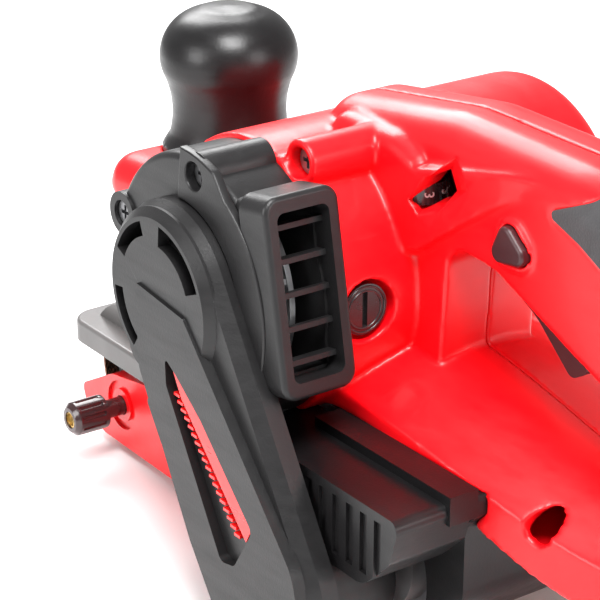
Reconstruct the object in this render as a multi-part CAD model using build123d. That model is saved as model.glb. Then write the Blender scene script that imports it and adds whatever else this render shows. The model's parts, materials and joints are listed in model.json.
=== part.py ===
from build123d import *
import os
from math import asin, cos, hypot, pi, radians, sin

# Hand-held belt sander, millimetres.
# +X is the machine's right side, +Y its front, +Z up.
# The origin is on the surface that the sander stands on, below the middle of its outline.

# ---------------------------------------------------------------- driving dimensions
SEAM_X = 8.0            # parting plane of the two housing halves
MOTOR_Y = 24.0          # motor axis, which runs along X
MOTOR_Z = 102.0
REAR_Y = -26.0          # drive roller axis
RUNNING_GAP = 0.3       # gap between the sanding belt and its rollers

BELT_WIDTH = 76.0
BELT_LENGTH = 457.0
BELT_THICK = 1.0
BELT_LEFT = -21.0       # left edge of the sanding belt
BELT_RIGHT = BELT_LEFT + BELT_WIDTH
REAR_LOOP_R = 26.0      # inner radius of the belt at the drive roller
FRONT_LOOP_R = 22.5     # inner radius of the belt at the idler roller
REAR_Z = REAR_LOOP_R + BELT_THICK
FRONT_Z = FRONT_LOOP_R + BELT_THICK
FRONT_Y = REAR_Y + (BELT_LENGTH - pi * (REAR_LOOP_R + FRONT_LOOP_R + BELT_THICK)) / 2

BARREL_R = 44.0         # motor barrel of the housing
WALL = 3.0
BARREL_LEFT = -40.0
BARREL_RIGHT = 75.0

VOLUTE_LEFT = -62.0     # dust fan casing, left of the barrel
VOLUTE_R = 42.5
COVER_BACK = VOLUTE_LEFT
COVER_SHOULDER = -71.5
COVER_FACE = -75.0      # outermost face of the belt cover
CAP_FACE = -74.1        # face of the round cap, a little below the band
CAP_R = 29.5            # round cap of the belt cover, about the motor axis
COVER_LOW_R = 29.0      # round lower end of the belt cover

HANDLE_HALF = 18.0      # half the width of the D-handle
HANDLE_REAR = MOTOR_Y - 170.0
POD_HALF = 22.5
BODY_BASE = 66.0        # underside of the housing, where it sits on the belt frame
PLATE_X = -32.0         # outer face of the left side plate

MOTOR_TEETH = 14
ROLLER_TEETH = 32
TOOTH_PITCH = 4.0
MOTOR_PULLEY_R = MOTOR_TEETH * TOOTH_PITCH / (2 * pi)
ROLLER_PULLEY_R = ROLLER_TEETH * TOOTH_PITCH / (2 * pi)
DRIVE_BELT_THICK = 2.2
PULLEY_LEFT = -69.3
PULLEY_RIGHT = -62.4

SHAFT_R = 4.0           # motor shaft
DRIVE_SHAFT_R = 5.0     # drive roller shaft
AXLE_R = 4.0            # idler axle
FIT = 0.05              # radial clearance of a running fit
KNOB_Y = MOTOR_Y + 94.0
KNOB_Z = 19.0

os.makedirs("parts", exist_ok=True)


# ---------------------------------------------------------------- small helpers
def cyl_x(radius, x0, x1, y, z):
    """Cylinder along X between x0 and x1."""
    return Pos((x0 + x1) / 2, y, z) * Rot(0, 90, 0) * Cylinder(radius, abs(x1 - x0))


def cyl_y(radius, y0, y1, x, z):
    """Cylinder along Y between y0 and y1."""
    return Pos(x, (y0 + y1) / 2, z) * Rot(90, 0, 0) * Cylinder(radius, abs(y1 - y0))


def cyl_z(radius, z0, z1, x, y):
    """Cylinder along Z between z0 and z1."""
    return Pos(x, y, (z0 + z1) / 2) * Cylinder(radius, z1 - z0)


def ring_x(outer, inner, x0, x1, y, z):
    """Tube along X."""
    x0, x1 = sorted((x0, x1))
    return cyl_x(outer, x0, x1, y, z) - cyl_x(inner, x0 - 1, x1 + 1, y, z)


def block(x0, x1, y0, y1, z0, z1):
    """Box given by its six faces."""
    return Pos((x0 + x1) / 2, (y0 + y1) / 2, (z0 + z1) / 2) * Box(abs(x1 - x0), abs(y1 - y0), abs(z1 - z0))


def outline(corners, radii=None):
    """Closed face in the YZ plane. Corners are (y, z); each has its own radius."""
    points = [(0, y, z) for y, z in corners]
    if radii is None:
        return make_face(Polyline(*points, close=True))
    return make_face(FilletPolyline(*points, radius=radii, close=True))


def plate_x(face, x0, x1, taper=0):
    """Extrude a YZ face from x0 to x1."""
    sign = 1 if x1 > x0 else -1
    return Pos(x0, 0, 0) * extrude(face, amount=abs(x1 - x0), dir=(sign, 0, 0), taper=taper)


def loop_face(y0, z0, r0, y1, z1, r1):
    """Face in the YZ plane bounded by two circles and their outer tangents."""
    dy, dz = y1 - y0, z1 - z0
    length = hypot(dy, dz)
    along = (dy / length, dz / length)
    across = (-along[1], along[0])
    lean = asin((r0 - r1) / length)

    def rim(y, z, r, side):
        a, b = sin(lean), side * cos(lean)
        return (0, y + r * (a * along[0] + b * across[0]), z + r * (a * along[1] + b * across[1]))

    far = (0, y1 + r1 * along[0], z1 + r1 * along[1])
    near = (0, y0 - r0 * along[0], z0 - r0 * along[1])
    edges = [
        Line(rim(y0, z0, r0, 1), rim(y1, z1, r1, 1)),
        ThreePointArc(rim(y1, z1, r1, 1), far, rim(y1, z1, r1, -1)),
        Line(rim(y1, z1, r1, -1), rim(y0, z0, r0, -1)),
        ThreePointArc(rim(y0, z0, r0, -1), near, rim(y0, z0, r0, 1)),
    ]
    return make_face(Wire(edges))


def soften(shape, edges, sizes):
    """Fillet edges with the first radius that the shape allows."""
    for size in sizes:
        try:
            result = fillet(edges, size)
            if result.is_valid and result.volume > 0.7 * shape.volume:
                return result
        except Exception:
            continue
    return shape


def save(node, *solids):
    """Write one node as its own STEP file."""
    bodies = []
    for item in solids:
        bodies.extend(item.solids())
    shape = bodies[0] if len(bodies) == 1 else Compound(children=bodies)
    shape.label = node
    export_step(shape, "parts/" + node + ".step")
    return shape


# ---------------------------------------------------------------- housing
def body_section(half_width, top, drop, bottom, y):
    """Cross-section of the lower body: flat base, domed top that falls by drop at its sides."""
    path = [
        Line((SEAM_X - half_width, y, bottom), (SEAM_X + half_width, y, bottom)),
        Line((SEAM_X + half_width, y, bottom), (SEAM_X + half_width, y, top - drop)),
        ThreePointArc((SEAM_X + half_width, y, top - drop), (SEAM_X, y, top),
                      (SEAM_X - half_width, y, top - drop)),
        Line((SEAM_X - half_width, y, top - drop), (SEAM_X - half_width, y, bottom)),
    ]
    return make_face(Wire(path))


def tail_solid(inset):
    """Lower body behind the barrel, which carries the foot of the D-handle."""
    faces = [
        body_section(41 - inset, 88 - inset, 14, BODY_BASE + inset, MOTOR_Y - 20),
        body_section(40 - inset, 86 - inset, 13, BODY_BASE + inset, MOTOR_Y - 60),
        body_section(36 - inset, 76 - inset, 12, 50 + inset, MOTOR_Y - 108),
        body_section(23 - inset, 66 - inset, 11, 44 + inset, MOTOR_Y - 158 + inset),
    ]
    return loft(faces)


def nose_solid(inset):
    """Forward part of the housing, below the front handle."""
    side = outline([(MOTOR_Y - 20, BODY_BASE + inset), (MOTOR_Y + 76 - inset, BODY_BASE + inset),
                    (MOTOR_Y + 108 - inset, 98 - inset), (MOTOR_Y + 102 - inset, 110 - inset),
                    (MOTOR_Y + 62, 113 - inset), (MOTOR_Y + 20, 140 - inset),
                    (MOTOR_Y - 20, 140 - inset)], radii=[1, 6, 6, 10, 40, 6, 1])
    solid = plate_x(side, SEAM_X - 38 + inset, SEAM_X + 42 - inset)
    long_edges = [e for e in solid.edges() if e.center().Z > 100 and abs(e.center().X - SEAM_X) > 25]
    return soften(solid, long_edges, [10, 6, 3] if inset == 0 else [7, 4, 2])


def in_gap_rim(point):
    """True for a point on the rim of the finger opening."""
    return MOTOR_Y - 145 < point.Y < MOTOR_Y - 50 and 60 < point.Z < 128


def handle_solid(inset):
    """D-handle: a bar that slopes back and down, and a rear leg down to the tail."""
    rear = HANDLE_REAR + inset
    outer = outline([(MOTOR_Y + 40, 112), (MOTOR_Y + 4, 152 - inset), (MOTOR_Y - 50, 160 - inset),
                     (MOTOR_Y - 126, 159 - inset), (rear, 124), (rear, 66), (MOTOR_Y - 154, 42 + inset),
                     (MOTOR_Y - 120, 50 + inset), (MOTOR_Y - 96, 68), (MOTOR_Y - 30, 76)],
                    radii=[4, 12, 60, 70, 50, 30, 14, 8, 4, 2])
    gap = outline([(MOTOR_Y - 54 + inset, 70 - inset), (MOTOR_Y - 57 + inset, 124 + inset),
                   (MOTOR_Y - 78, 122 + inset), (MOTOR_Y - 110, 108.5 + inset),
                   (MOTOR_Y - 140 - inset, 97 + inset), (MOTOR_Y - 142 - inset, 62 - inset)],
                  radii=[6, 8, 14, 30, 14, 12])
    half = HANDLE_HALF - inset
    bar = plate_x(outer, SEAM_X - half, SEAM_X + half)
    rims = [e for e in bar.edges() if abs(abs(e.center().X - SEAM_X) - half) < 0.1]
    bar = soften(bar, rims, [12 - inset, 10 - inset, 8 - inset, 5 - inset])
    hole = plate_x(gap, SEAM_X - 30, SEAM_X + 30)
    bar -= hole
    inner = [e for e in bar.edges() if abs(abs(e.center().X - SEAM_X) - half) < 0.1
             and in_gap_rim(e.center())]
    return soften(bar, inner, [7 - inset, 5 - inset, 3.5 - inset])


def pod_solid(inset):
    """Raised pod for the speed dial, between the barrel and the handle."""
    side = outline([(MOTOR_Y - 20, 110), (MOTOR_Y - 46.5 + inset, 117 + inset),
                    (MOTOR_Y - 46.5 + inset, 147 - inset), (MOTOR_Y - 34, 151 - inset),
                    (MOTOR_Y - 5, 151 - inset), (MOTOR_Y + 5, 120)],
                   radii=[1, 6, 2.5, 10, 6, 1])
    half = POD_HALF - inset
    solid = plate_x(side, SEAM_X - half, SEAM_X + half)
    rims = [e for e in solid.edges() if abs(abs(e.center().X - SEAM_X) - half) < 0.1]
    return soften(solid, rims, [5, 3, 2] if inset == 0 else [3, 2])


def barrel_solid(inset):
    """Motor barrel along X."""
    solid = cyl_x(BARREL_R - inset, BARREL_LEFT + inset, BARREL_RIGHT - inset, MOTOR_Y, MOTOR_Z)
    if inset > 0:
        return solid
    rims = [e for e in solid.edges() if e.center().X > 50]
    return soften(solid, rims, [8, 5])


BOSS_Y, BOSS_Z = MOTOR_Y - 22.0, MOTOR_Z + 42.0
SCREW_BOSSES = [  # y, z of the screws that join the two halves
    (BOSS_Y, BOSS_Z),
    (MOTOR_Y - 157, 112),
    (MOTOR_Y - 118, 62),
    (MOTOR_Y + 88, 82),
    (MOTOR_Y + 56, 78),
]
BOSS_R = 7.0
SCREW_HEAD_R = 4.6
HEAD_DEPTH = 12.0       # how deep a screw head sits in its boss


def boss_left_x(y, z):
    """Left end of a screw boss: the top one runs along the barrel, the others stay inside the shell."""
    return BARREL_LEFT + 2 if (y, z) == (BOSS_Y, BOSS_Z) else SEAM_X - 14


def brush_pocket(side, radius, near, far):
    """Cylinder along Y at the brush station, on the rear (-1) or front (1) side of the motor."""
    y0, y1 = sorted((MOTOR_Y + side * near, MOTOR_Y + side * far))
    return cyl_y(radius, y0, y1, BRUSH_X, MOTOR_Z)


BRUSH_X = SEAM_X - 36.0
BRUSH_CAP_R = 8.0
BRUSH_SLEEVE_R = 9.6    # recess around each brush cap


def housing():
    """Both halves of the housing, cut at the seam."""
    shell = barrel_solid(0) + tail_solid(0) + nose_solid(0) + handle_solid(0) + pod_solid(0)
    bosses = [cyl_x(BOSS_R, boss_left_x(y, z), SEAM_X + 14, y, z) for y, z in SCREW_BOSSES]
    shell += bosses[0]
    hollow = (barrel_solid(WALL) + tail_solid(WALL) + nose_solid(WALL)
              + handle_solid(WALL) + pod_solid(WALL))
    shell += lock_boss()
    shell -= hollow
    for boss in bosses[1:]:
        shell += boss
    for side in (-1, 1):
        shell += brush_pocket(side, BRUSH_SLEEVE_R + 2, 34, 42) & cyl_x(BARREL_R, -39, 74, MOTOR_Y, MOTOR_Z)
        shell -= brush_pocket(side, BRUSH_SLEEVE_R, 38, 60)
        shell -= brush_pocket(side, HOLDER_R + 0.02, 30, 60)
    # open left end of the barrel, closed by the fan casing
    shell -= cyl_x(BARREL_R - WALL, BARREL_LEFT - 1, BARREL_LEFT + WALL + 1, MOTOR_Y, MOTOR_Z)
    # cooling slots round the right end
    for k in range(12):
        slot = block(BARREL_RIGHT - 14, BARREL_RIGHT + 2, MOTOR_Y - 1.6, MOTOR_Y + 1.6,
                     MOTOR_Z + 16, MOTOR_Z + 36)
        shell -= slot.rotate(Axis((0, MOTOR_Y, MOTOR_Z), (1, 0, 0)), 30 * k)
    # seat of the right-hand motor bearing
    right_wall = BARREL_RIGHT - WALL
    shell += ring_x(15, BEARING_R, right_wall - 9, right_wall + 0.5, MOTOR_Y, MOTOR_Z)
    for y, z in SCREW_BOSSES:
        shell -= cyl_x(SCREW_HEAD_R, boss_left_x(y, z) - 60, boss_left_x(y, z) + HEAD_DEPTH / 2, y, z)
        shell -= cyl_x(1.8, boss_left_x(y, z) - 1, SEAM_X + 12, y, z)
    shell -= dial_slot()
    shell -= trigger_slot()
    shell -= plate_x(lock_triangle(0.4), LOCK_FACE_X - 5, LOCK_FACE_X + 9)
    shell -= grip_solid(-1) + grip_solid(1)
    shell -= cyl_y(GLAND_R, MOTOR_Y - 190, MOTOR_Y - 150, SEAM_X, GLAND_Z)
    shell -= cyl_y(GLAND_R + 2.2, HANDLE_REAR + 4.8, HANDLE_REAR + 12, SEAM_X, GLAND_Z)
    shell -= front_handle_base()
    shell -= hood_envelope()
    shell -= plate_x(cover_profile(0.2), COVER_FACE - 5, VOLUTE_LEFT + 0.1)
    left = shell & block(-120, SEAM_X, -300, 300, -10, 300)
    right = shell & block(SEAM_X, 120, -300, 300, -10, 300)
    return largest(left), largest(right)


def largest(shape):
    """The biggest solid of a shape, without loose crumbs."""
    return max(shape.solids(), key=lambda s: s.volume)


# ---------------------------------------------------------------- controls in the handle
LOCK_Y, LOCK_Z = MOTOR_Y - 86.0, 132.8
GLAND_R = 7.0
GLAND_Z = 62.0
TRIGGER_PIVOT_Y, TRIGGER_PIVOT_Z = MOTOR_Y - 62.0, 132.0
TRIGGER_HALF = 8.0


def trigger_outline():
    """Side view of the trigger."""
    return outline([(MOTOR_Y - 61, 129), (MOTOR_Y - 65, 118), (MOTOR_Y - 85, 108.5),
                    (MOTOR_Y - 101, 94.5), (MOTOR_Y - 107, 98), (MOTOR_Y - 106, 122),
                    (MOTOR_Y - 75, 131)],
                   radii=[2, 5, 30, 3, 2.5, 3, 8])


def trigger_slot():
    """Slot in the underside of the handle bar, with room for the trigger to swing in."""
    room = outline([(MOTOR_Y - 58.5, 132), (MOTOR_Y - 60, 100), (MOTOR_Y - 114, 88), (MOTOR_Y - 111.5, 128),
                    (MOTOR_Y - 75, 135)], radii=[2, 5, 2, 3, 8])
    return plate_x(room, SEAM_X - TRIGGER_HALF - 0.5, SEAM_X + TRIGGER_HALF + 0.5)


def trigger():
    """Finger trigger with its two pivot stubs."""
    body = plate_x(trigger_outline(), SEAM_X - TRIGGER_HALF, SEAM_X + TRIGGER_HALF)
    hollow = plate_x(outline([(MOTOR_Y - 68, 140), (MOTOR_Y - 68, 121), (MOTOR_Y - 100, 108),
                              (MOTOR_Y - 100, 140)]),
                     SEAM_X - TRIGGER_HALF + 2, SEAM_X + TRIGGER_HALF - 2)
    ears = cyl_x(4, SEAM_X - 7, SEAM_X + 7, TRIGGER_PIVOT_Y - 1, TRIGGER_PIVOT_Z - 3)
    return largest(body - hollow + ears)


LOCK_FACE_X = SEAM_X - HANDLE_HALF   # side of the handle that the button comes out of


def lock_triangle(grow):
    """Rounded triangle of the lock button, larger by grow on every side."""
    corners = [(LOCK_Y + 8.6 + grow, LOCK_Z - 6.8 - 0.9 * grow), (LOCK_Y + 2.2 + 0.2 * grow, LOCK_Z + 7.4 + 1.4 * grow),
               (LOCK_Y - 11.4 - 1.2 * grow, LOCK_Z - 4.0 - 0.7 * grow)]
    return outline(corners, radii=[3.2 + grow, 3.2 + grow, 3.2 + grow])


def lock_button():
    """Triangular lock-on button in the left face of the handle."""
    head = plate_x(lock_triangle(0), LOCK_FACE_X - 3.4, LOCK_FACE_X + 5.6)
    rim = [e for e in head.edges() if e.center().X < LOCK_FACE_X - 3.3]
    head = soften(head, rim, [1.2, 0.8])
    return head + cyl_x(4, LOCK_FACE_X + 5, LOCK_FACE_X + 7, LOCK_Y, LOCK_Z)


def lock_boss():
    """Raised rim of the housing round the lock button."""
    rim = plate_x(lock_triangle(3.0), LOCK_FACE_X - 1.8, LOCK_FACE_X + 6)
    return soften(rim, [e for e in rim.edges() if e.center().X < LOCK_FACE_X - 1.7], [1.4, 1.0])


DIAL_R = 8.0
DIAL_X = SEAM_X - 13.4
DIAL_Y, DIAL_Z = MOTOR_Y - 46.5 + DIAL_R - 0.2, 135.0
DIAL_HALF = 3.2


def dial_slot():
    """Window in the rear face of the pod, with room for the wheel."""
    wheel = Pos(DIAL_X, DIAL_Y, DIAL_Z) * Cylinder(DIAL_R + 0.4, 2 * DIAL_HALF + 0.8)
    panel = block(DIAL_X - 8, DIAL_X + 8.6, MOTOR_Y - 60, MOTOR_Y - 45.3, DIAL_Z - 5.6, DIAL_Z + 5.6)
    window = block(DIAL_X - 6.4, DIAL_X + 6.4, MOTOR_Y - 60, MOTOR_Y - 42, DIAL_Z - 3.8, DIAL_Z + 3.8)
    return wheel + panel + window


def speed_dial():
    """Thumbwheel with a knurled rim."""
    wheel = Pos(DIAL_X, DIAL_Y, DIAL_Z) * Cylinder(DIAL_R, 2 * DIAL_HALF)
    for k in range(36):
        groove = Pos(DIAL_R, 0, 0) * Box(0.7, 0.6, 2 * DIAL_HALF + 1)
        wheel -= Pos(DIAL_X, DIAL_Y, DIAL_Z) * Rot(0, 0, 10 * k) * groove
    hub = Pos(DIAL_X, DIAL_Y, DIAL_Z) * Cylinder(2.5, 2 * DIAL_HALF + 3)
    return wheel + hub


def grip_solid(side):
    """Soft skin let into one half of the handle bar, over its side and back."""
    face = outline([(MOTOR_Y - 98, 146), (MOTOR_Y - 112, 141), (MOTOR_Y - 124, 135),
                    (MOTOR_Y - 144, 116), (MOTOR_Y - 160, 84), (MOTOR_Y - 180, 84),
                    (MOTOR_Y - 180, 170), (MOTOR_Y - 124, 170), (MOTOR_Y - 116, 154)],
                   radii=[1.5, 6, 8, 14, 4, 4, 4, 4, 10])
    x0, x1 = sorted((SEAM_X + side * 2.5, SEAM_X + side * 30))
    prism = plate_x(face, x0, x1)
    return largest((HANDLE_OUTER & prism) - HANDLE_SKIN)


HANDLE_OUTER = handle_solid(0)
HANDLE_SKIN = handle_solid(1.5)


# ---------------------------------------------------------------- motor
HOLDER_R = 7.0
BEARING_R = 11.0
BEARING_WIDE = 7.0
LEFT_BEARING_X = -42.0
RIGHT_BEARING_X = BARREL_RIGHT - WALL - 8
STATOR_X0, STATOR_X1 = -14.0, 28.0
ROTOR_R = 21.0
STATOR_R = 36.0


def bearing(y, z, x0, bore):
    """Ball bearing drawn as an outer ring, an inner ring and a ring between them."""
    outer = ring_x(BEARING_R - 0.02, BEARING_R - 2.5, x0, x0 + BEARING_WIDE, y, z)
    inner = ring_x(bore + 2.5, bore, x0, x0 + BEARING_WIDE, y, z)
    cage = ring_x(BEARING_R - 2.5, bore + 2.5, x0 + 1, x0 + BEARING_WIDE - 1, y, z)
    return outer + inner + cage


def toothed_wheel(teeth, x0, x1, y, z, bore):
    """Toothed pulley along X."""
    pitch_r = teeth * TOOTH_PITCH / (2 * pi)
    wheel = cyl_x(pitch_r - 0.4, x0, x1, y, z)
    for k in range(teeth):
        groove = block(x0 - 1, x1 + 1, y - 0.7, y + 0.7, z + pitch_r - 1.6, z + pitch_r + 1)
        wheel -= groove.rotate(Axis((0, y, z), (1, 0, 0)), 360 * k / teeth)
    return wheel - cyl_x(bore, x0 - 1, x1 + 1, y, z)


def fan(x0, x1, radius, blades, back):
    """Radial fan: a back plate with straight blades."""
    wheel = cyl_x(radius, back, back + 1.8, MOTOR_Y, MOTOR_Z)
    wheel += cyl_x(8, x0, x1, MOTOR_Y, MOTOR_Z)
    for k in range(blades):
        blade = block(x0, x1, MOTOR_Y - 0.8, MOTOR_Y + 0.8, MOTOR_Z + 7, MOTOR_Z + radius - 0.5)
        wheel += blade.rotate(Axis((0, MOTOR_Y, MOTOR_Z), (1, 0, 0)), 360 * k / blades)
    return wheel - cyl_x(SHAFT_R, x0 - 5, x1 + 5, MOTOR_Y, MOTOR_Z)


def motor_parts():
    """Everything on the motor axis."""
    y, z = MOTOR_Y, MOTOR_Z
    save("motor_shaft", cyl_x(SHAFT_R - 0.01, PULLEY_LEFT - 0.5, RIGHT_BEARING_X + 7.5, y, z))
    rotor = ring_x(ROTOR_R, SHAFT_R, STATOR_X0, STATOR_X1, y, z)
    for k in range(12):
        slot = block(STATOR_X0 - 1, STATOR_X1 + 1, y - 0.8, y + 0.8, z + ROTOR_R - 4, z + ROTOR_R + 1)
        rotor -= slot.rotate(Axis((0, y, z), (1, 0, 0)), 30 * k)
    save("armature_core", rotor)
    coil_left = ring_x(18, SHAFT_R, STATOR_X0 - 7, STATOR_X0, y, z)
    coil_right = ring_x(18, SHAFT_R, STATOR_X1, STATOR_X1 + 7, y, z)
    save("armature_windings", coil_left, coil_right)
    commutator = ring_x(13, SHAFT_R, BRUSH_X - 6, BRUSH_X + 6.5, y, z)
    for k in range(24):
        cut = block(BRUSH_X - 7, BRUSH_X + 5, y - 0.3, y + 0.3, z + 12, z + 14)
        commutator -= cut.rotate(Axis((0, y, z), (1, 0, 0)), 15 * k + 7.5)
    save("commutator", commutator)
    poles = ring_x(STATOR_R, ROTOR_R + 0.5, STATOR_X0, STATOR_X1, y, z)
    poles &= block(STATOR_X0, STATOR_X1, y - 50, y + 50, z - 33, z + 33)
    coils = []
    for side in (-1, 1):
        slot_y = sorted((y + side * 19, y + side * 29))
        poles -= block(STATOR_X0 - 1, STATOR_X1 + 1, *slot_y, z - 13, z + 13)
        coil_y = sorted((y + side * 21.8, y + side * 28.5))
        coils.append(block(STATOR_X0 - 6, STATOR_X1 + 6, *coil_y, z - 12, z + 12))
    save("stator_core", poles)
    save("field_coils", *coils)
    save("cooling_fan", fan(STATOR_X1 + 9, STATOR_X1 + 28, 33, 12, STATOR_X1 + 9))
    save("dust_fan", fan(VOLUTE_LEFT + 4, VOLUTE_LEFT + 16, 31.5, 10, VOLUTE_LEFT + 14.2))
    save("motor_bearing_left", bearing(y, z, LEFT_BEARING_X, SHAFT_R))
    save("motor_bearing_right", bearing(y, z, RIGHT_BEARING_X, SHAFT_R))
    save("motor_pulley", toothed_wheel(MOTOR_TEETH, PULLEY_LEFT, PULLEY_RIGHT, y, z, SHAFT_R))


def brush_gear():
    """Two brush holders, their carbon brushes and screwed caps."""
    holders, carbons, caps = [], [], []
    for side in (-1, 1):
        tube = brush_pocket(side, HOLDER_R, 17, 38) - block(
            BRUSH_X - 3.2, BRUSH_X + 3.2, MOTOR_Y - 60, MOTOR_Y + 60, MOTOR_Z - 4.2, MOTOR_Z + 4.2)
        holders.append(tube)
        y0, y1 = sorted((MOTOR_Y + side * 13.1, MOTOR_Y + side * 32))
        carbons.append(block(BRUSH_X - 3.1, BRUSH_X + 3.1, y0, y1, MOTOR_Z - 4.1, MOTOR_Z + 4.1)
                       - cyl_x(13.1, -60, 20, MOTOR_Y, MOTOR_Z))
        cap = brush_pocket(side, BRUSH_CAP_R, 38, 41.5)
        y0, y1 = sorted((MOTOR_Y + side * 39.5, MOTOR_Y + side * 45))
        cap -= block(BRUSH_X - 0.9, BRUSH_X + 0.9, y0, y1, MOTOR_Z - 5.5, MOTOR_Z + 5.5)
        caps.append(cap)
    save("brush_holders", *holders)
    save("carbon_brushes", *carbons)
    save("brush_caps", *caps)


# ---------------------------------------------------------------- dust fan casing and outlet
OUTLET_LEAN = 10.5      # the outlet's mouth leans back at its foot, degrees
OUTLET_TALL, OUTLET_WIDE = 60.0, 26.0
OUTLET_X = -51.2
OUTLET_Y, OUTLET_Z = MOTOR_Y - 47.0, 114.5
OUTLET_DEPTH = 13.0


def in_outlet(shape):
    """Place a shape drawn about the middle of the outlet's mouth, with -Y out of the mouth."""
    return Pos(OUTLET_X, OUTLET_Y, OUTLET_Z) * Rot(-OUTLET_LEAN, 0, 0) * shape


def rounded_box(wide, deep, tall, radius):
    """Box about the origin whose edges along Y are rounded."""
    solid = Box(wide, deep, tall)
    return fillet(solid.edges().filter_by(Axis.Y), radius)


def outlet_core(grow, y0, y1):
    """Straight duct behind the outlet's mouth."""
    wide, tall = OUTLET_WIDE - 6 + 2 * grow, OUTLET_TALL - 6 + 2 * grow
    return in_outlet(Pos(0, (y0 + y1) / 2, 0) * rounded_box(wide, y1 - y0, tall, 3 + grow))


def fan_volute():
    """Casing of the dust fan: a drum with a duct that leaves it towards the rear."""
    y, z = MOTOR_Y, MOTOR_Z
    drum = cyl_x(VOLUTE_R, VOLUTE_LEFT, BARREL_LEFT - 0.01, y, z)
    drum = soften(drum, [e for e in drum.edges() if e.center().X < VOLUTE_LEFT + 1], [2.5, 1.5])
    duct = outlet_core(0.6, 8, 42)
    throat = in_outlet(Pos(0, 24, 0) * Box(OUTLET_WIDE - 8, 46, OUTLET_TALL - 12))
    chamber = cyl_x(VOLUTE_R - 3, VOLUTE_LEFT + 2.5, BARREL_LEFT - 3, y, z)
    body = drum + duct
    body -= chamber
    for angle in VOLUTE_SCREWS:
        body += cyl_x(7, VOLUTE_LEFT - 1, BARREL_LEFT - 0.01, *volute_screw(angle))
    body -= throat - block(BARREL_LEFT - 3, BARREL_LEFT + 5, -100, 100, 0, 200)
    body -= cyl_x(CAP_R - 8, VOLUTE_LEFT - 1, VOLUTE_LEFT + 3, y, z)
    # seat of the left-hand motor bearing
    body += cyl_x(15, BARREL_LEFT - 4, LEFT_BEARING_X + BEARING_WIDE, y, z)
    body -= cyl_x(BEARING_R, LEFT_BEARING_X, LEFT_BEARING_X + 12, y, z)
    body -= cyl_x(SHAFT_R + 2, VOLUTE_LEFT, LEFT_BEARING_X + 12, y, z)
    for angle in VOLUTE_SCREWS:
        sy, sz = volute_screw(angle)
        body -= cyl_x(4.3, VOLUTE_LEFT - 3, VOLUTE_LEFT + 3, sy, sz)
        body -= cyl_x(1.8, VOLUTE_LEFT, BARREL_LEFT - 6, sy, sz)
    # mouth at the bottom, over the dust hood
    body -= block(-58, -44, MOTOR_Y - 26, MOTOR_Y - 10, 50, 75)
    return largest(body)


VOLUTE_SCREWS = (100.0, 20.0, 315.0)


def volute_screw(angle):
    """Centre of a fan casing screw, at an angle from +Y towards +Z."""
    return MOTOR_Y + 39.6 * cos(radians(angle)), MOTOR_Z + 39.6 * sin(radians(angle))


def dust_outlet():
    """Collar round the outlet's mouth, with finger guard ribs."""
    collar = in_outlet(Pos(0, OUTLET_DEPTH / 2, 0)
                       * rounded_box(OUTLET_WIDE, OUTLET_DEPTH, OUTLET_TALL, 5))
    collar = soften(collar, collar.faces().sort_by(Axis.Y)[0].edges(), [1.6, 1.0])
    bore = in_outlet(Pos(0, 0, 0) * rounded_box(OUTLET_WIDE - 8, 60, OUTLET_TALL - 10, 2.5))
    socket = outlet_core(0.6, 8, 60)
    ribs = None
    for k in range(5):
        rib = in_outlet(Pos(0, 6, -20 + 10 * k) * Box(OUTLET_WIDE - 7, 3.8, 1.6))
        ribs = rib if ribs is None else ribs + rib
    shape = collar - bore - socket + ribs
    shape -= plate_x(cover_profile(0.3), COVER_FACE, COVER_BACK + 0.3)
    shape -= cyl_x(VOLUTE_R + 0.01, VOLUTE_LEFT - 5, BARREL_LEFT, MOTOR_Y, MOTOR_Z)
    shape -= cyl_x(BARREL_R + 0.01, BARREL_LEFT - 0.01, 0, MOTOR_Y, MOTOR_Z)
    return largest(shape)


# ---------------------------------------------------------------- drive belt cover
COVER_LOW_Y, COVER_LOW_Z = REAR_Y, REAR_Z


def cover_profile(grow):
    """Outline of the cover's flange: round the cap and round the drive roller's pulley."""
    return loop_face(MOTOR_Y, MOTOR_Z, CAP_R + grow, COVER_LOW_Y, COVER_LOW_Z, COVER_LOW_R + grow - 3)


def band_outline(inset):
    """Raised band that runs from the cap down to the lower pulley."""
    return outline([(MOTOR_Y + 10.2 - inset, 104.5), (MOTOR_Y + 10 - inset, 77.5),
                    (MOTOR_Y - 12 - inset, 38), (MOTOR_Y - 30, 6 + inset),
                    (MOTOR_Y - 58, 2.5 + inset), (MOTOR_Y - 76 + inset, 22), (MOTOR_Y - 70 + inset, 42),
                    (MOTOR_Y - 15.5 + inset, 101.5)],
                   radii=[0.6, 8, 60, 16, 16, 16, 16, 0.8])


WINDOW = [(MOTOR_Y - 5.2, 85.5), (MOTOR_Y - 5.6, 76.6), (MOTOR_Y - 34, 29.5), (MOTOR_Y - 41, 31),
          (MOTOR_Y - 50.5, 46.5), (MOTOR_Y - 24, 72.3), (MOTOR_Y - 11, 82)]
WINDOW_DEPTH = 3.2


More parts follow.
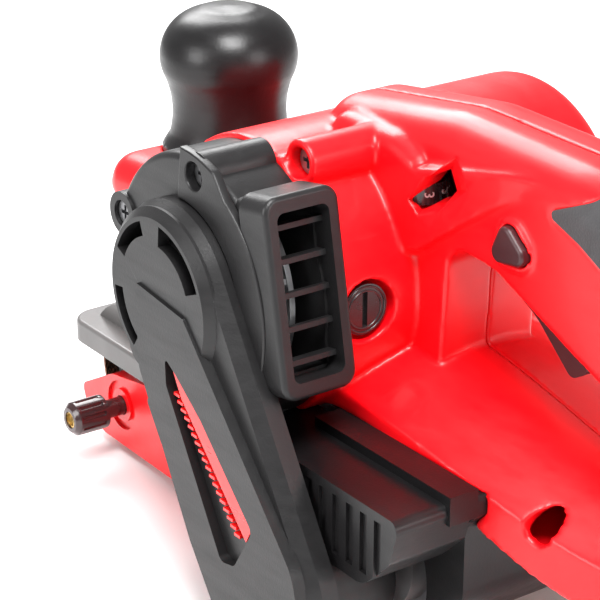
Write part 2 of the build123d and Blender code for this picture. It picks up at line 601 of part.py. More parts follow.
def belt_cover():
    """Cover of the drive belt, with a slotted cap over the motor pulley."""
    base = plate_x(cover_profile(0), COVER_BACK, COVER_SHOULDER)
    rims = [e for e in base.edges() if e.center().X < COVER_SHOULDER + 0.1]
    base = chamfer(rims, 4.0, 2.6)
    band = plate_x(band_outline(0), COVER_SHOULDER + 0.5, COVER_FACE)
    cap = cyl_x(CAP_R - 1.5, COVER_SHOULDER + 1, CAP_FACE, MOTOR_Y, MOTOR_Z)
    cap_rim = [e for e in cap.edges() if e.center().X < CAP_FACE + 0.1]
    cap = chamfer(cap_rim, 2.6)
    band_rim = [e for e in band.edges() if e.center().X < COVER_FACE + 0.1]
    try:
        band = chamfer(band_rim, 1.2)
    except Exception:
        pass
    cover = base + (band & plate_x(cover_profile(-0.5), COVER_BACK, COVER_FACE - 2)) + cap
    inner = plate_x(loop_face(MOTOR_Y, MOTOR_Z, CAP_R - 5, COVER_LOW_Y, COVER_LOW_Z, COVER_LOW_R - 5.4),
                    COVER_BACK + 1, COVER_SHOULDER + 1.5)
    window = plate_x(outline(WINDOW, radii=[1, 2, 3, 3, 3, 6, 3]), COVER_FACE - 1,
                     COVER_FACE + WINDOW_DEPTH)
    cover -= inner
    cover -= window
    # three arc slots in the cap's face
    for start, sweep, r_in, r_out in ((25, 45, 19.5, 24), (95, 62, 17.5, 24), (305, 48, 19.5, 24)):
        cover -= arc_slot(start, sweep, r_in, r_out)
    return largest(cover)


def arc_slot(start, sweep, r_in, r_out):
    """Curved slot through the cap's face; angles run from +Y towards +Z."""
    def at(r, a):
        t = radians(a)
        return (0, MOTOR_Y + r * cos(t), MOTOR_Z + r * sin(t))
    mid, end = start + sweep / 2, start + sweep
    edges = [ThreePointArc(at(r_out, start), at(r_out, mid), at(r_out, end)),
             Line(at(r_out, end), at(r_in, end)),
             ThreePointArc(at(r_in, end), at(r_in, mid), at(r_in, start)),
             Line(at(r_in, start), at(r_out, start))]
    return plate_x(make_face(Wire(edges)), COVER_FACE - 1, COVER_FACE + 5.6)


def stripe_insert():
    """Coloured insert seen in the window of the band: a stripe and a row of short bars."""
    floor_x = COVER_FACE + WINDOW_DEPTH
    stripe = plate_x(outline([(MOTOR_Y - 8.5, 83), (MOTOR_Y - 13, 79.5), (MOTOR_Y - 24.2, 71.2),
                              (MOTOR_Y - 49.6, 46.6), (MOTOR_Y - 46.6, 41.5), (MOTOR_Y - 13, 75)],
                             radii=[0.5, 1, 4, 1, 1, 4]),
                     floor_x - 0.8, floor_x)
    bars = []
    count = 18
    for k in range(count):
        t = k / (count - 1)
        y = MOTOR_Y - 9.6 - 31.5 * t
        z = 74.6 - 33.5 * t
        bar = block(floor_x - 0.6, floor_x, y - 1.5, y + 1.5, z - 0.5, z + 0.5)
        bars.append(bar)
    return [stripe] + bars


# ---------------------------------------------------------------- belt drive and rollers
def drive_belt():
    """Toothed belt round the two pulleys, drawn without its teeth."""
    outer = loop_face(MOTOR_Y, MOTOR_Z, MOTOR_PULLEY_R + RUNNING_GAP + DRIVE_BELT_THICK,
                      REAR_Y, REAR_Z, ROLLER_PULLEY_R + RUNNING_GAP + DRIVE_BELT_THICK)
    inner = loop_face(MOTOR_Y, MOTOR_Z, MOTOR_PULLEY_R + RUNNING_GAP,
                      REAR_Y, REAR_Z, ROLLER_PULLEY_R + RUNNING_GAP)
    return plate_x(outer - inner, PULLEY_LEFT + 1, PULLEY_RIGHT - 1)


def sanding_belt():
    """Endless abrasive belt round the two rollers."""
    outer = loop_face(REAR_Y, REAR_Z, REAR_LOOP_R + BELT_THICK, FRONT_Y, FRONT_Z,
                      FRONT_LOOP_R + BELT_THICK)
    inner = loop_face(REAR_Y, REAR_Z, REAR_LOOP_R, FRONT_Y, FRONT_Z, FRONT_LOOP_R)
    return plate_x(outer - inner, BELT_LEFT, BELT_RIGHT)


def rollers():
    """Drive roller with its rubber sleeve and shaft, and the idler roller on its axle."""
    r0, r1 = BELT_LEFT + 2, BELT_RIGHT - 2
    save("drive_roller", ring_x(REAR_LOOP_R - RUNNING_GAP - 3, DRIVE_SHAFT_R, r0, r1, REAR_Y, REAR_Z))
    save("roller_sleeve", ring_x(REAR_LOOP_R - RUNNING_GAP, REAR_LOOP_R - RUNNING_GAP - 3, r0, r1,
                                 REAR_Y, REAR_Z))
    save("drive_shaft", cyl_x(DRIVE_SHAFT_R - 0.01, PULLEY_LEFT - 0.5, RIGHT_ARM_X0 + BEARING_WIDE + 0.5,
                              REAR_Y, REAR_Z))
    save("roller_pulley", toothed_wheel(ROLLER_TEETH, PULLEY_LEFT, PULLEY_RIGHT, REAR_Y, REAR_Z,
                                        DRIVE_SHAFT_R))
    save("roller_bearing_left", bearing(REAR_Y, REAR_Z, LEFT_WALL_X1 - BEARING_WIDE, DRIVE_SHAFT_R))
    save("roller_bearing_right", bearing(REAR_Y, REAR_Z, RIGHT_ARM_X0, DRIVE_SHAFT_R))
    idler = ring_x(FRONT_LOOP_R - RUNNING_GAP, AXLE_R + FIT, r0 + 3, r1 - 3, FRONT_Y, FRONT_Z)
    for x in (r0 + 3, r1 - 3 - 5):
        idler -= ring_x(BEARING_R, AXLE_R - 1, x - 0.01, x + 5.01, FRONT_Y, FRONT_Z)
    save("idler_roller", idler)
    idler_bearings = [ring_x(BEARING_R - 0.01, AXLE_R + FIT, x, x + 5, FRONT_Y, FRONT_Z)
                      for x in (r0 + 3, r1 - 3 - 5)]
    save("idler_bearings", *idler_bearings)
    save("idler_axle", cyl_x(AXLE_R, YOKE_LEFT + 0.5, YOKE_RIGHT - 0.5, FRONT_Y, FRONT_Z))


# ---------------------------------------------------------------- belt frame
LEFT_WALL_X0, LEFT_WALL_X1 = -30.0, -22.5
RIGHT_ARM_X0, RIGHT_ARM_X1 = BELT_RIGHT - 1.5, BELT_RIGHT + 7.0
YOKE_LEFT, YOKE_RIGHT = BELT_LEFT + 0.6, BELT_RIGHT - 0.6
FRAME_FRONT, FRAME_REAR = MOTOR_Y + 62.0, REAR_Y + 30.0
SPRING_R = 6.0
STEM_R = 4.0
STEM_Z = 25.0
BELT_MID = (BELT_LEFT + BELT_RIGHT) / 2
PAD_THICK = 2.5
SOLE_THICK = 1.0
SOLE_TOP = BELT_THICK + RUNNING_GAP + SOLE_THICK
PAD_TOP = SOLE_TOP + PAD_THICK


def belt_frame():
    """Die-cast frame inside the belt, with the wall that carries it from the housing."""
    core = block(LEFT_WALL_X1 - 1, BELT_RIGHT - 2, FRAME_REAR, FRAME_FRONT, PAD_TOP, 40)
    core -= block(BELT_LEFT + 6, BELT_MID - 10, FRAME_REAR + 5, FRAME_FRONT - 5, 12, 50)
    core -= block(BELT_MID + 10, BELT_RIGHT - 7, FRAME_REAR + 5, FRAME_FRONT - 5, 12, 50)
    core -= block(BELT_MID - 7, BELT_MID + 7, FRAME_FRONT - 34, FRAME_FRONT - 6, 14, 50)
    core -= cyl_y(STEM_R + 0.1, FRAME_FRONT - 50, FRAME_FRONT + 1, BELT_MID, STEM_Z)
    side = outline([(REAR_Y, 8), (MOTOR_Y + 104, 7), (MOTOR_Y + 112, 15), (MOTOR_Y + 97, 25),
                    (MOTOR_Y + 76, 30), (MOTOR_Y + 58, 36), (MOTOR_Y + 50, BODY_BASE),
                    (REAR_Y + 8, BODY_BASE), (REAR_Y + 6, 46), (REAR_Y, 46)],
                   radii=[3, 4, 3, 6, 6, 6, 4, 4, 3, 3])
    wall = plate_x(side, LEFT_WALL_X0, LEFT_WALL_X1)
    wall += cyl_x(19, LEFT_WALL_X0, LEFT_WALL_X1, REAR_Y, REAR_Z)
    shelf = block(LEFT_WALL_X0, BELT_RIGHT - 8, REAR_Y + 8, MOTOR_Y + 50, 58, BODY_BASE)
    frame = core + wall + shelf
    frame -= cyl_x(BARREL_R + 0.02, BARREL_LEFT - 30, BARREL_RIGHT, MOTOR_Y, MOTOR_Z)
    # right-hand arm that reaches back to the drive roller, within the loop of the belt
    arm = plate_x(loop_face(REAR_Y, REAR_Z, 15.5, FRAME_REAR + 12, 24, 13), RIGHT_ARM_X0, RIGHT_ARM_X1 - 2)
    frame += arm + block(BELT_RIGHT - 12, RIGHT_ARM_X1 - 2, FRAME_REAR + 2, FRAME_REAR + 16, 12, 36)
    frame -= cyl_x(BEARING_R, LEFT_WALL_X0 - 1, LEFT_WALL_X1 + 1, REAR_Y, REAR_Z)
    frame -= cyl_x(BEARING_R, RIGHT_ARM_X0 - 1, RIGHT_ARM_X0 + BEARING_WIDE, REAR_Y, REAR_Z)
    frame -= cyl_x(DRIVE_SHAFT_R + 1, RIGHT_ARM_X0 - 2, RIGHT_ARM_X1 + 1, REAR_Y, REAR_Z)
    frame -= cyl_x(LEVER_SHAFT_R + FIT, BELT_RIGHT - 30, BELT_RIGHT + 2, LEVER_Y, LEVER_Z)
    frame -= cyl_x(2.5, LEFT_WALL_X0 - 1, LEFT_WALL_X1 + 1, KNOB_Y, KNOB_Z)
    return largest(frame)


LEVER_SHAFT_R = 4.0
LEVER_Y, LEVER_Z = MOTOR_Y + 48.0, 30.0


def idler_yoke():
    """Fork that carries the idler axle and slides in the frame."""
    y0, y1 = FRAME_FRONT + 8, FRONT_Y + 8
    left = block(YOKE_LEFT, YOKE_LEFT + 3.5, y0, y1, FRONT_Z - 8, FRONT_Z + 8)
    right = block(YOKE_RIGHT - 3.5, YOKE_RIGHT, y0, y1, FRONT_Z - 8, FRONT_Z + 8)
    web = block(YOKE_LEFT, YOKE_RIGHT, y0, y0 + 4.5, FRONT_Z - 8, FRONT_Z + 8)
    stem = cyl_y(STEM_R, FRAME_FRONT - 42, y0 + 1, BELT_MID, STEM_Z)
    collar = cyl_y(SPRING_R, FRAME_FRONT - 12, FRAME_FRONT - 9, BELT_MID, STEM_Z)
    yoke = left + right + web + stem + collar
    return yoke - cyl_x(AXLE_R, YOKE_LEFT - 1, YOKE_RIGHT + 1, FRONT_Y, FRONT_Z)


def tension_spring():
    """Coil spring between the frame and the collar on the yoke's stem."""
    y0, y1 = FRAME_FRONT - 33.2, FRAME_FRONT - 12.8
    turns = 7
    path = Helix(pitch=(y1 - y0) / turns, height=y1 - y0, radius=SPRING_R - 0.8)
    section = Plane(origin=path @ 0, z_dir=path % 0) * Circle(0.6)
    coil = sweep(section, path)
    return Pos(BELT_MID, y0, STEM_Z) * Rot(-90, 0, 0) * coil


def tension_lever():
    """Lever on the right-hand side that draws the idler back."""
    arm = plate_x(loop_face(LEVER_Y, LEVER_Z, 8, LEVER_Y - 35, LEVER_Z + 3, 5),
                  BELT_RIGHT + 1.5, BELT_RIGHT + 6.5)
    tab = block(BELT_RIGHT + 1.5, BELT_RIGHT + 12, LEVER_Y - 38, LEVER_Y - 29, LEVER_Z + 1, LEVER_Z + 5)
    shaft = cyl_x(LEVER_SHAFT_R, BELT_RIGHT - 6.5, BELT_RIGHT + 3, LEVER_Y, LEVER_Z)
    return arm + tab + shaft


def sole_and_pad():
    """Steel sole plate with a resilient pad above it."""
    y0, y1 = REAR_Y + 24, FRONT_Y - 30
    x0, x1 = BELT_LEFT + 2, BELT_RIGHT - 2
    save("sole_plate", block(x0, x1, y0, y1, BELT_THICK + RUNNING_GAP, SOLE_TOP))
    save("sole_pad", block(x0, x1, y0 + 2, y1 - 2, SOLE_TOP, PAD_TOP))


# ---------------------------------------------------------------- rear casing, side plate, guard
def hood_envelope():
    """Outer shape of the black casing behind and over the drive roller."""
    back = outline([(REAR_Y + 2, BODY_BASE), (REAR_Y + 2, 10), (REAR_Y - 28, 10), (REAR_Y - 46, 30),
                    (REAR_Y - 46, 56), (MOTOR_Y - 100, 60), (MOTOR_Y - 100, BODY_BASE)],
                   radii=[1, 1, 12, 12, 3, 2, 2])
    body = plate_x(back, PLATE_X - 1, BELT_RIGHT + 3)
    side_case = plate_x(outline([(MOTOR_Y - 14, BODY_BASE), (MOTOR_Y - 14, 40), (MOTOR_Y - 84, 40),
                                 (MOTOR_Y - 96, 52), (MOTOR_Y - 100, BODY_BASE)],
                                radii=[1, 1, 10, 4, 3]),
                        -60, PLATE_X - 1)
    tunnel = cyl_x(20, -61.5, PLATE_X, REAR_Y, REAR_Z)
    ledge = block(SEAM_X - 50, SEAM_X - 40, MOTOR_Y - 100, MOTOR_Y - 36, BODY_BASE - 6, BODY_BASE + 3)
    nose = plate_x(outline([(MOTOR_Y - 15, 48), (MOTOR_Y - 15, 33), (MOTOR_Y + 35, 33), (MOTOR_Y + 45, 48)],
                           radii=[1, 1, 2, 2]), -52, PLATE_X - 1)
    return body + side_case + tunnel + ledge + nose


def rear_casing():
    """Casing behind the drive roller, with a dust passage up to the fan."""
    body = hood_envelope()
    body -= cyl_x(REAR_LOOP_R + 3.5, PLATE_X - 5, BELT_RIGHT + 5, REAR_Y, REAR_Z)
    body -= block(PLATE_X - 1, BELT_RIGHT + 5, REAR_Y, REAR_Y + 60, 0, 56)
    body -= cyl_x(VOLUTE_R + 0.01, VOLUTE_LEFT, BARREL_LEFT, MOTOR_Y, MOTOR_Z)
    body -= cyl_x(DRIVE_SHAFT_R + 4, -70, PLATE_X + 5, REAR_Y, REAR_Z)
    # passage from the roller to the fan casing
    body -= block(-57, PLATE_X - 4, MOTOR_Y - 80, MOTOR_Y - 17, 43, 62)
    body -= block(-58, -44, MOTOR_Y - 26, MOTOR_Y - 17, 60, 90)
    body -= block(PLATE_X - 5, PLATE_X + 3, REAR_Y - 22, REAR_Y - 2, 44, 58)
    for k in range(12):
        y0 = MOTOR_Y - 92 + 6.5 * k
        body -= block(-62, -58.8, y0, y0 + 3.2, 44, BODY_BASE - 3)
    return largest(body)


def side_plate():
    """Left side plate over the belt frame, with a sunk ring round the tracking knob."""
    corners = [(MOTOR_Y - 34, 8), (MOTOR_Y - 4, 3.2), (MOTOR_Y + 107, 3.6), (MOTOR_Y + 119, 12),
               (MOTOR_Y + 121, 17.5), (MOTOR_Y + 100, 29), (MOTOR_Y + 76, 33), (MOTOR_Y + 36, 44),
               (MOTOR_Y - 24, 46)]
    plate = plate_x(outline(corners, radii=[4, 6, 6, 4, 3, 12, 12, 6, 2]), PLATE_X, LEFT_WALL_X1)
    pocket = [(MOTOR_Y - 60, 0), (MOTOR_Y + 105.5, 5.6), (MOTOR_Y + 117, 13.2), (MOTOR_Y + 118, 16.8),
              (MOTOR_Y + 99.5, 27), (MOTOR_Y + 75.5, 31), (MOTOR_Y + 36, 60), (MOTOR_Y - 60, 60)]
    plate -= plate_x(outline(pocket), LEFT_WALL_X0, LEFT_WALL_X1 + 1)
    plate -= cyl_x(19.5, LEFT_WALL_X0, LEFT_WALL_X1 + 1, REAR_Y, REAR_Z)
    plate -= cyl_x(13, PLATE_X - 1, LEFT_WALL_X1 + 1, REAR_Y, REAR_Z)
    plate -= ring_x(9, 6, PLATE_X - 1, PLATE_X + 1.2, KNOB_Y, KNOB_Z)
    plate -= cyl_x(3.6, PLATE_X - 1, LEFT_WALL_X1 + 1, KNOB_Y, KNOB_Z)
    plate -= hood_envelope()
    return largest(plate)


HINGE_Y, HINGE_Z = MOTOR_Y + 79.0, 55.5
PIN_R = 2.0
GUARD_RIGHT = BELT_RIGHT + 3.0


def front_guard():
    """Cover over the front roller that hinges up, with a thick front edge."""
    top_z = FRONT_Z + FRONT_LOOP_R + BELT_THICK + 4.5
    lip = block(PLATE_X, GUARD_RIGHT, FRONT_Y - 22, 154, 33.5, 41.5)
    corners = [e for e in lip.edges().filter_by(Axis.Z) if e.center().Y > 140]
    lip = fillet(corners, 9)
    lip = soften(lip, [e for e in lip.edges() if e.center().Z > 41.4 and e.center().Y > FRONT_Y - 20],
                 [1.5, 1.0])
    shell = cyl_x(FRONT_LOOP_R + BELT_THICK + 4.5, BELT_LEFT - 2, GUARD_RIGHT, FRONT_Y, FRONT_Z)
    shell &= block(-100, 100, FRONT_Y, 154, 33.5, 80)
    roof = block(BELT_LEFT - 2, GUARD_RIGHT, HINGE_Y + 6, FRONT_Y, top_z - 3, top_z)
    guard = lip + shell + roof
    guard -= cyl_x(FRONT_LOOP_R + BELT_THICK + 1.8, BELT_LEFT - 1, GUARD_RIGHT - 1.5, FRONT_Y, FRONT_Z)
    guard -= block(BELT_LEFT - 1, GUARD_RIGHT - 1.5, HINGE_Y - 5, FRONT_Y, 30, top_z - 3)
    for x in HINGE_LUGS:
        lug = plate_x(loop_face(HINGE_Y, HINGE_Z, 4, HINGE_Y + 12, top_z - 2, 2), x, x + 8)
        guard += lug
        guard -= cyl_x(PIN_R + FIT, x - 1, x + 9, HINGE_Y, HINGE_Z)
    return largest(guard)


HINGE_LUGS = (SEAM_X - 16.0, SEAM_X + 24.0)


def hinge_bracket():
    """Bracket under the nose of the housing that holds the guard's hinge pin."""
    bracket = block(SEAM_X - 22, SEAM_X + 38, HINGE_Y - 10, HINGE_Y - 4.6, 53, BODY_BASE)
    for x in (SEAM_X - 22, SEAM_X - 7.6, SEAM_X + 17.6, SEAM_X + 32.4):
        bracket += plate_x(loop_face(HINGE_Y, HINGE_Z, 4, HINGE_Y - 8, 60, 4), x, x + 5.2)
    return bracket - cyl_x(PIN_R, SEAM_X - 30, SEAM_X + 50, HINGE_Y, HINGE_Z)


FRONT_HANDLE_Y = MOTOR_Y + 83.0
FRONT_HANDLE_R = 24.0


def front_handle_base():
    """Round foot of the front handle, sunk into the nose of the housing."""
    return cyl_z(FRONT_HANDLE_R - 1, 104, 125, SEAM_X, FRONT_HANDLE_Y)


def front_handle():
    """Knob handle: foot, waist and a domed palm rest."""
    r = FRONT_HANDLE_R
    side = [Line((0, 104), (r - 1, 104)), Line((r - 1, 104), (r - 1, 112)),
            Line((r - 1, 112), (r - 3.5, 116)),
            ThreePointArc((r - 3.5, 116), (r - 4.5, 127), (r - 1.5, 138)),
            ThreePointArc((r - 1.5, 138), (r - 2.2, 150), (r - 11, 158)),
            Line((r - 11, 158), (r - 15, 159.4)),
            Line((r - 15, 159.4), (0, 160)),
            Line((0, 160), (0, 104))]
    face = make_face(Plane.XZ * Wire(side))
    knob = revolve(face, Axis.Z)
    hollow = cyl_z(r - 8, 103, 130, 0, 0) - cyl_z(6, 103, 131, 0, 0)
    return Pos(SEAM_X, FRONT_HANDLE_Y, 0) * (knob - hollow - cyl_z(2.5, 100, 122, 0, 0))


# ---------------------------------------------------------------- tracking screw, electrics, fasteners
def tracking_parts():
    """Knob, threaded insert and screw that tilt the idler axle."""
    end_x = SEAM_X - 61
    body = cyl_x(6, end_x, end_x + 13, KNOB_Y, KNOB_Z)
    body = chamfer([e for e in body.edges() if abs(e.center().X - end_x) < 0.1], 1.6)
    for k in range(10):
        flute = cyl_x(0.9, end_x + 2.5, end_x + 11.5, KNOB_Y, KNOB_Z + 6.3)
        body -= flute.rotate(Axis((0, KNOB_Y, KNOB_Z), (1, 0, 0)), 36 * k)
    neck = cyl_x(3.3, end_x + 12, PLATE_X + 0.5, KNOB_Y, KNOB_Z)
    save("tracking_knob", body + neck - cyl_x(3, end_x - 1, PLATE_X + 2, KNOB_Y, KNOB_Z))
    save("tracking_insert", ring_x(2.99, 2.3, end_x + 0.4, end_x + 10, KNOB_Y, KNOB_Z))
    save("tracking_screw", cyl_x(2.29, end_x + 2, YOKE_LEFT - 0.3, KNOB_Y, KNOB_Z))


def electrics():
    """Switch, speed control board and the sleeve at the cable inlet."""
    switch = block(SEAM_X - 7, SEAM_X + 7, MOTOR_Y - 104, MOTOR_Y - 70, 134, 152)
    switch += block(SEAM_X - 3, SEAM_X + 3, MOTOR_Y - 92, MOTOR_Y - 84, 132.2, 134)
    save("switch", switch)
    board = block(SEAM_X - 11, SEAM_X + 11, MOTOR_Y - 140, MOTOR_Y - 112, 126, 127.6)
    triac = block(SEAM_X - 5, SEAM_X + 5, MOTOR_Y - 128, MOTOR_Y - 122, 127.6, 142)
    capacitor = block(SEAM_X - 9, SEAM_X + 9, MOTOR_Y - 138, MOTOR_Y - 131, 127.6, 138)
    save("speed_board", board, triac, capacitor)
    sleeve = cyl_y(GLAND_R - 0.01, MOTOR_Y - 178, HANDLE_REAR + 5, SEAM_X, GLAND_Z)
    flange = cyl_y(GLAND_R + 2, HANDLE_REAR + 5, HANDLE_REAR + 8, SEAM_X, GLAND_Z)
    save("cable_sleeve", sleeve + flange - cyl_y(4, -400, 400, SEAM_X, GLAND_Z))


def cross_recess(x0, y, z):
    """Cross-shaped driver recess in a screw head that faces -X."""
    return block(x0 - 1, x0 + 1.6, y - 0.6, y + 0.6, z - 2.4, z + 2.4) + block(
        x0 - 1, x0 + 1.6, y - 2.4, y + 2.4, z - 0.6, z + 0.6)


def screw(x0, length, y, z):
    """Pan-head screw along +X, its head's face at x0."""
    shape = cyl_x(4.0, x0, x0 + 2.6, y, z) + cyl_x(1.79, x0 + 2.6, x0 + length, y, z)
    return shape - cross_recess(x0, y, z)


def fasteners():
    """Screws of the housing, fan casing, sole and front handle."""
    joins = []
    for y, z in SCREW_BOSSES:
        seat = boss_left_x(y, z) + HEAD_DEPTH / 2
        joins.append(screw(seat - 2.6, SEAM_X + 11 - seat, y, z))
    save("housing_screws", *joins)
    casing = [screw(VOLUTE_LEFT + 0.4, 12, *volute_screw(a)) for a in VOLUTE_SCREWS]
    save("fan_casing_screws", *casing)
    stud = cyl_z(2.49, 96, 121, SEAM_X, FRONT_HANDLE_Y) + cyl_z(5, 93.4, 96, SEAM_X, FRONT_HANDLE_Y)
    save("front_handle_bolt", stud)


# ---------------------------------------------------------------- build and write every node
def main():
    left, right = housing()
    save("housing_left", left)
    save("housing_right", right)
    save("grip_left", grip_solid(-1))
    save("grip_right", grip_solid(1))
    save("fan_volute", fan_volute())
    save("dust_outlet", dust_outlet())
    save("belt_cover", belt_cover())
    save("cover_stripe", *stripe_insert())
    save("rear_casing", rear_casing())
    save("side_plate", side_plate())
    save("front_guard", front_guard())
    save("hinge_bracket", hinge_bracket())
    save("hinge_pin", cyl_x(PIN_R - 0.01, SEAM_X - 22, SEAM_X + 37, HINGE_Y, HINGE_Z))
    save("front_handle", front_handle())
    save("trigger", trigger())
    save("lock_button", lock_button())
    save("speed_dial", speed_dial())
    motor_parts()
    brush_gear()
    save("drive_belt", drive_belt())
    save("sanding_belt", sanding_belt())
    rollers()
    save("belt_frame", belt_frame())
    save("idler_yoke", idler_yoke())
    save("tension_spring", tension_spring())
    save("tension_lever", tension_lever())
    sole_and_pad()
    tracking_parts()
    electrics()
    fasteners()


main()
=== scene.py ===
import json
import math

import bpy
from mathutils import Matrix, Vector


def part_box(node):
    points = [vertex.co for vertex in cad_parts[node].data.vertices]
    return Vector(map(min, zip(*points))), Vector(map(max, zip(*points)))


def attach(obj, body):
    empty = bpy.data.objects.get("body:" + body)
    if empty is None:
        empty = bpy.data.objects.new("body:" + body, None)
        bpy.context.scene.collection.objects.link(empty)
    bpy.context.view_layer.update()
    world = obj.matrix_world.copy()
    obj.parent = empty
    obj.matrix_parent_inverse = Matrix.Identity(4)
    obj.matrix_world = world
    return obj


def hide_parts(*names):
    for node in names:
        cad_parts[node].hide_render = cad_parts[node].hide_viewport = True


# Hand-held belt sander. Metres; +X is the machine's right, +Y its front, +Z up.
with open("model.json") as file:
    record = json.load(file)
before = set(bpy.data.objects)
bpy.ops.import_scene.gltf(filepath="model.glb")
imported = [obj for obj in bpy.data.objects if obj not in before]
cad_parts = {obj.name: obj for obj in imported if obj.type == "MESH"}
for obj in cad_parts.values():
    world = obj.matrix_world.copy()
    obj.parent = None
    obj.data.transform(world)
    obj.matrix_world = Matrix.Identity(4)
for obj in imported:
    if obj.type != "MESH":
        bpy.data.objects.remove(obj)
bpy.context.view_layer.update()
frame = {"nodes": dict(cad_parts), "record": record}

MM = 0.001
NODES = frame["nodes"]
MOTOR_Y, MOTOR_Z = 0.024, 0.102


# ---------------------------------------------------------------- helper for materials
class Paint:
    """A principled material under construction, with short names for its nodes."""

    def __init__(self, name):
        self.mat = bpy.data.materials.new(name)
        self.mat.use_nodes = True
        self.tree = self.mat.node_tree
        self.bsdf = self.tree.nodes["Principled BSDF"]
        self.coords = self.add("ShaderNodeTexCoord").outputs["Object"]

    def add(self, kind, **values):
        node = self.tree.nodes.new(kind)
        for key, value in values.items():
            setattr(node, key, value)
        return node

    def link(self, source, target):
        self.tree.links.new(source, target)

    def fixed(self, **sockets):
        """Set uniform numbers and colours on the shader itself."""
        for name, value in sockets.items():
            self.bsdf.inputs[name.replace("_", " ")].default_value = value

    def stretched(self, scale):
        """Object coordinates scaled by a triple, for brushed or lined surfaces."""
        mapping = self.add("ShaderNodeMapping")
        mapping.inputs["Scale"].default_value = scale
        self.link(self.coords, mapping.inputs["Vector"])
        return mapping.outputs["Vector"]

    def noise(self, scale, detail=3.0, rough=0.55, coords=None):
        node = self.add("ShaderNodeTexNoise")
        node.inputs["Scale"].default_value = scale
        node.inputs["Detail"].default_value = detail
        node.inputs["Roughness"].default_value = rough
        self.link(coords or self.coords, node.inputs["Vector"])
        return node.outputs["Fac"]

    def cells(self, scale, feature="F1"):
        node = self.add("ShaderNodeTexVoronoi", feature=feature)
        node.inputs["Scale"].default_value = scale
        self.link(self.coords, node.inputs["Vector"])
        return node.outputs["Distance"]

    def remap(self, value, low, high, out_low, out_high):
        node = self.add("ShaderNodeMapRange")
        node.inputs["From Min"].default_value = low
        node.inputs["From Max"].default_value = high
        node.inputs["To Min"].default_value = out_low
        node.inputs["To Max"].default_value = out_high
        self.link(value, node.inputs["Value"])
        return node.outputs["Result"]

    def ramp(self, value, stops):
        node = self.add("ShaderNodeValToRGB")
        ramp = node.color_ramp
        while len(ramp.elements) < len(stops):
            ramp.elements.new(0.5)
        for element, (place, color) in zip(ramp.elements, stops):
            element.position = place
            element.color = (*color, 1.0)
        self.link(value, node.inputs["Fac"])
        return node.outputs["Color"]

    def mix(self, factor, a, b):
        node = self.add("ShaderNodeMix", data_type="RGBA")
        self.link(factor, node.inputs["Factor"])
        for socket, value in ((node.inputs[6], a), (node.inputs[7], b)):
            if isinstance(value, tuple):
                socket.default_value = (*value, 1.0)
            else:
                self.link(value, socket)
        return node.outputs[2]

    def color(self, output):
        self.link(output, self.bsdf.inputs["Base Color"])

    def rough(self, output):
        self.link(output, self.bsdf.inputs["Roughness"])

    def bump(self, height, strength, distance, under=None):
        node = self.add("ShaderNodeBump")
        node.inputs["Strength"].default_value = strength
        node.inputs["Distance"].default_value = distance
        self.link(height, node.inputs["Height"])
        if under is not None:
            self.link(under, node.inputs["Normal"])
        self.link(node.outputs["Normal"], self.bsdf.inputs["Normal"])
        return node.outputs["Normal"]


def shade(color, amount):
    """The same colour, lighter or darker."""
    return tuple(min(1.0, c * amount) for c in color)


# ---------------------------------------------------------------- materials
def moulded(name, color, rough, grain=0.10, grain_size=1400, coat=0.0, shine=0.5):
    """Moulded plastic: slight colour drift, spark-eroded grain, uneven gloss and faint scuffs."""
    p = Paint(name)
    drift = p.noise(22, 4)
    p.color(p.ramp(drift, [(0.30, shade(color, 0.90)), (0.50, color), (0.72, shade(color, 1.08))]))
    scuff = p.noise(1.0, 6, 0.7, p.stretched((140, 35, 260)))
    p.rough(p.remap(scuff, 0.35, 0.75, rough - 0.05, rough + 0.10))
    wave = p.bump(p.noise(60, 2), 0.06, 0.0004)
    p.bump(p.noise(grain_size, 2), grain, 0.0002, under=wave)
    p.fixed(Coat_Weight=coat, Coat_Roughness=0.12, IOR=1.5, Specular_IOR_Level=shine)
    return p.mat


def painted(name, color, rough):
    """Sprayed metal: fine orange peel and a few darker specks."""
    p = Paint(name)
    specks = p.cells(900)
    base = p.ramp(p.noise(40, 3), [(0.3, shade(color, 0.93)), (0.7, shade(color, 1.05))])
    p.color(p.mix(p.remap(specks, 0.0, 0.10, 0.5, 0.0), base, shade(color, 0.6)))
    p.rough(p.remap(p.noise(90, 4), 0.3, 0.7, rough - 0.05, rough + 0.08))
    p.bump(p.noise(700, 2), 0.12, 0.0002)
    p.fixed(Coat_Weight=0.25, Coat_Roughness=0.2)
    return p.mat


def soft_rubber(name, color, size=1700, strength=0.5):
    """Soft grip skin with a fine leathery grain."""
    p = Paint(name)
    grain = p.cells(size, "SMOOTH_F1")
    p.color(p.ramp(p.noise(150, 4), [(0.3, shade(color, 0.82)), (0.7, shade(color, 1.18))]))
    p.rough(p.remap(p.noise(60, 3), 0.3, 0.7, 0.62, 0.82))
    low = p.bump(p.noise(300, 3), 0.10, 0.0003)
    p.bump(grain, strength, 0.00025, under=low)
    p.fixed(Sheen_Weight=0.15, Sheen_Roughness=0.5)
    return p.mat


def turned(name, color, rough, around_x=True):
    """Turned or ground metal: fine rings across the axis and slight staining."""
    p = Paint(name)
    scale = (2600, 60, 60) if around_x else (60, 60, 2600)
    rings = p.noise(1.0, 3, 0.6, p.stretched(scale))
    p.color(p.ramp(p.noise(45, 4), [(0.3, shade(color, 0.85)), (0.7, shade(color, 1.08))]))
    p.rough(p.remap(rings, 0.3, 0.7, rough - 0.08, rough + 0.12))
    p.bump(rings, 0.15, 0.0001)
    p.fixed(Metallic=1.0)
    return p.mat


